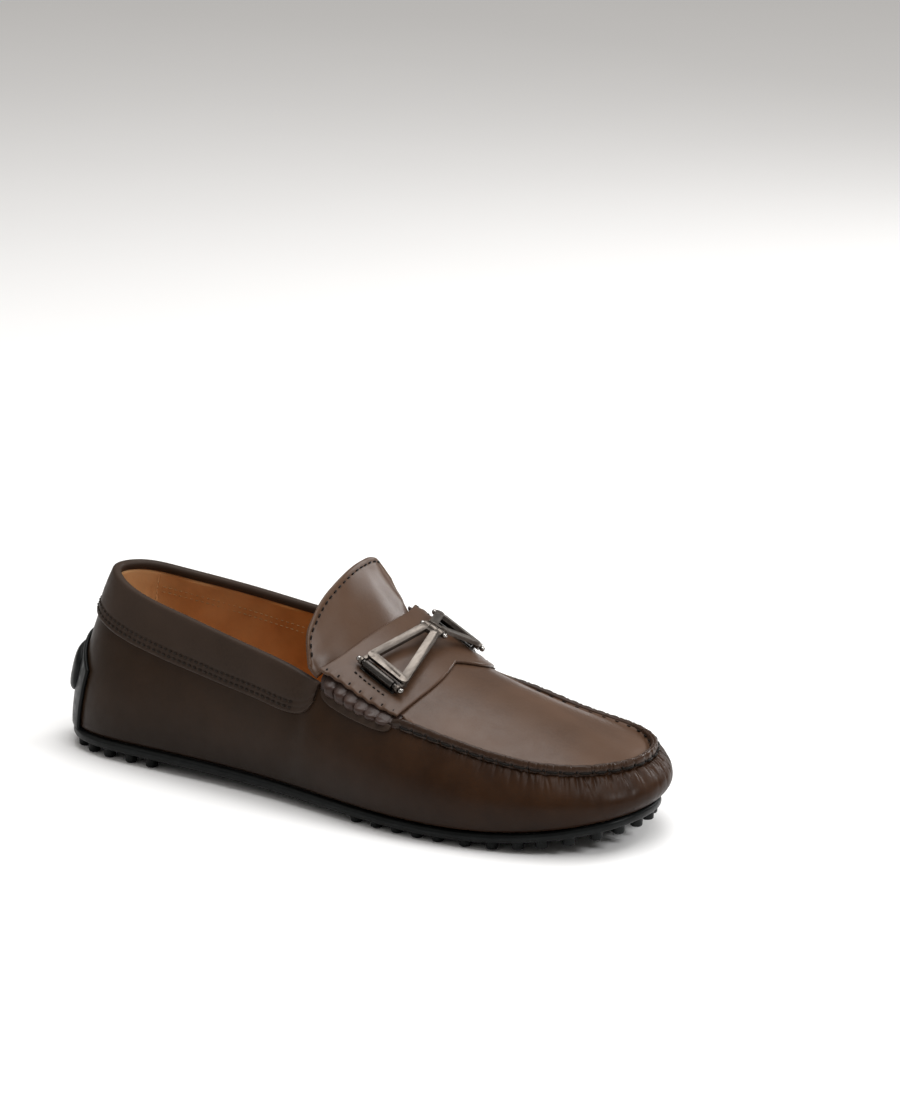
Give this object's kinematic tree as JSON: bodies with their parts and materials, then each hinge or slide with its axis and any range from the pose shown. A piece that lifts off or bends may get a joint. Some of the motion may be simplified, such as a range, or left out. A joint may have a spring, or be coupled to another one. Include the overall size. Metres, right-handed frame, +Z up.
{
  "type": "driving moccasin",
  "caption": "Right leather slip-on moccasin with a raised apron seam, saddle strap, hinged metal ornament, tan lining and studded rubber sole.",
  "frame": {"origin": "middle of the bottom of the whole shoe, on the floor under the stud tips", "axes": "+X from heel to toe, +Y to the wearer's inner (medial) side of this right shoe, +Z up"},
  "size_m": [0.286, 0.0954, 0.091],
  "materials": {
    "upper_leather": "smooth calf leather, semi-gloss, burnished darker towards the toe",
    "lining_leather": "tan lining leather, matte",
    "sole_rubber": "black moulded rubber, satin",
    "board": "pressed fibre board",
    "foam": "soft footbed foam",
    "counter": "thin heel stiffener",
    "thread": "waxed dark thread",
    "plate_metal": "satin, warm grey",
    "roller_metal": "gunmetal, satin",
    "pin_metal": "polished pin"
  },
  "bodies": {
    "shoe": {"outsole": "sole_rubber", "forefoot_pebbles": "sole_rubber", "heel_pebbles": "sole_rubber", "heel_guard": "sole_rubber", "heel_bumper": "sole_rubber", "insole_board": "board", "footbed_foam": "foam", "sock_lining": "lining_leather", "upper_wall": "upper_leather", "heel_counter": "counter", "heel_grip_lining": "lining_leather", "quarter_lining_lateral": "lining_leather", "quarter_lining_medial": "lining_leather", "vamp_lining": "lining_leather", "collar_band": "upper_leather", "collar_stitches": "thread", "apron": "upper_leather", "apron_lining": "lining_leather", "seam_ridge": "upper_leather", "seam_stitches": "thread", "gathers_lateral": "upper_leather", "gathers_medial": "upper_leather", "side_tab_lateral": "upper_leather", "side_tab_medial": "upper_leather", "saddle_strap": "upper_leather", "ornament_link_lateral": "plate_metal", "ornament_link_medial": "plate_metal", "ornament_hinge_pin": "pin_metal", "roller_pin_lateral": "pin_metal", "roller_pin_medial": "pin_metal", "roller_keeper_lateral": "roller_metal", "roller_keeper_medial": "roller_metal"},
    "tongue_flap": {"tongue": "upper_leather", "tongue_lining": "lining_leather", "tongue_stitches": "thread"},
    "lateral_roller": {"roller_lateral": "roller_metal"},
    "medial_roller": {"roller_medial": "roller_metal"}
  },
  "joints": [
    {"name": "tongue_flex", "type": "hinge", "parent": "shoe", "child": "tongue_flap", "pos_m": [0.0084, 0.0042, 0.071], "axis": [0, 1, 0], "range_deg": [-5, 18], "stiffness_Nm_per_rad": 0.02},
    {"name": "lateral_roller_spin", "type": "hinge", "parent": "shoe", "child": "lateral_roller", "pos_m": [0.02761, -0.02575, 0.0593], "axis": [0.918, -0.202, -0.3413], "continuous": true},
    {"name": "medial_roller_spin", "type": "hinge", "parent": "shoe", "child": "medial_roller", "pos_m": [0.02764, 0.03425, 0.06266], "axis": [0.8367, 0.1339, -0.531], "continuous": true}
  ]
}
